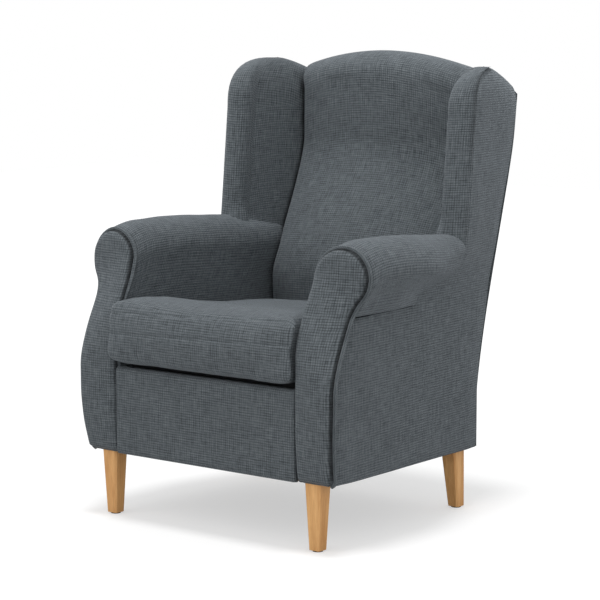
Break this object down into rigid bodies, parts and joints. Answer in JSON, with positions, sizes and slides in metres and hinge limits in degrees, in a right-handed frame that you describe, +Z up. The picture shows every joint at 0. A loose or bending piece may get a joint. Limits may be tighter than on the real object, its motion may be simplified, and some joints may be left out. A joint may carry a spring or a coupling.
{
  "type": "wing-back armchair",
  "caption": "Wing-back upholstered armchair with rolled arms, a loose zipped seat cushion and tapered wooden legs, for sitting.",
  "frame": {"origin": "on the floor, in the middle of the overall box", "axes": "+Z up, the chair's front faces -Y, +X is to the right of someone who faces the chair"},
  "size_m": [0.7828, 0.795, 1.03],
  "materials": {
    "frame_wood": "matte",
    "plywood": "matte",
    "leg_wood": "satin",
    "steel": "satin",
    "zip_metal": "satin",
    "glide_plastic": "matte",
    "dark_cloth": "matte",
    "webbing": "matte",
    "foam": "matte",
    "upholstery": "matte"
  },
  "bodies": {
    "chair": {"front_rail": "frame_wood", "rear_rail": "frame_wood", "right_side_rail": "frame_wood", "left_side_rail": "frame_wood", "leg_blocks": "frame_wood", "right_back_post": "frame_wood", "left_back_post": "frame_wood", "crest_rail": "frame_wood", "lower_back_rail": "frame_wood", "right_arm_post": "frame_wood", "left_arm_post": "frame_wood", "right_arm_board": "frame_wood", "left_arm_board": "frame_wood", "right_arm_tack_rail": "frame_wood", "left_arm_tack_rail": "frame_wood", "right_facing_board": "plywood", "left_facing_board": "plywood", "right_wing_board": "plywood", "left_wing_board": "plywood", "seat_springs": "steel", "spring_clips": "steel", "seat_deck": "dark_cloth", "back_webbing": "webbing", "front_border": "upholstery", "right_arm_facing": "upholstery", "left_arm_facing": "upholstery", "right_facing_welt": "upholstery", "left_facing_welt": "upholstery", "right_arm_roll": "upholstery", "left_arm_roll": "upholstery", "right_inside_arm": "upholstery", "left_inside_arm": "upholstery", "right_outside_arm": "upholstery", "left_outside_arm": "upholstery", "right_wing_pad": "upholstery", "left_wing_pad": "upholstery", "right_outside_wing": "upholstery", "left_outside_wing": "upholstery", "back_pad": "upholstery", "outside_back": "upholstery", "back_welt": "upholstery", "dust_cover": "dark_cloth", "front_right_leg": "leg_wood", "front_left_leg": "leg_wood", "rear_right_leg": "leg_wood", "rear_left_leg": "leg_wood", "hanger_bolts": "steel", "threaded_inserts": "steel", "foot_glides": "glide_plastic"},
    "seat_cushion": {"cushion_cover": "upholstery", "cushion_foam": "foam", "zip_tape": "dark_cloth"},
    "zip_pull": {"zip_slider": "zip_metal"}
  },
  "joints": [
    {"name": "cushion_slide", "type": "slide", "parent": "chair", "child": "seat_cushion", "axis": [0, -0.9962, 0.0872], "range_m": [0, 0.55]},
    {"name": "zip_slide", "type": "slide", "parent": "seat_cushion", "child": "zip_pull", "axis": [1, 0, 0], "range_m": [0, 0.38]}
  ]
}
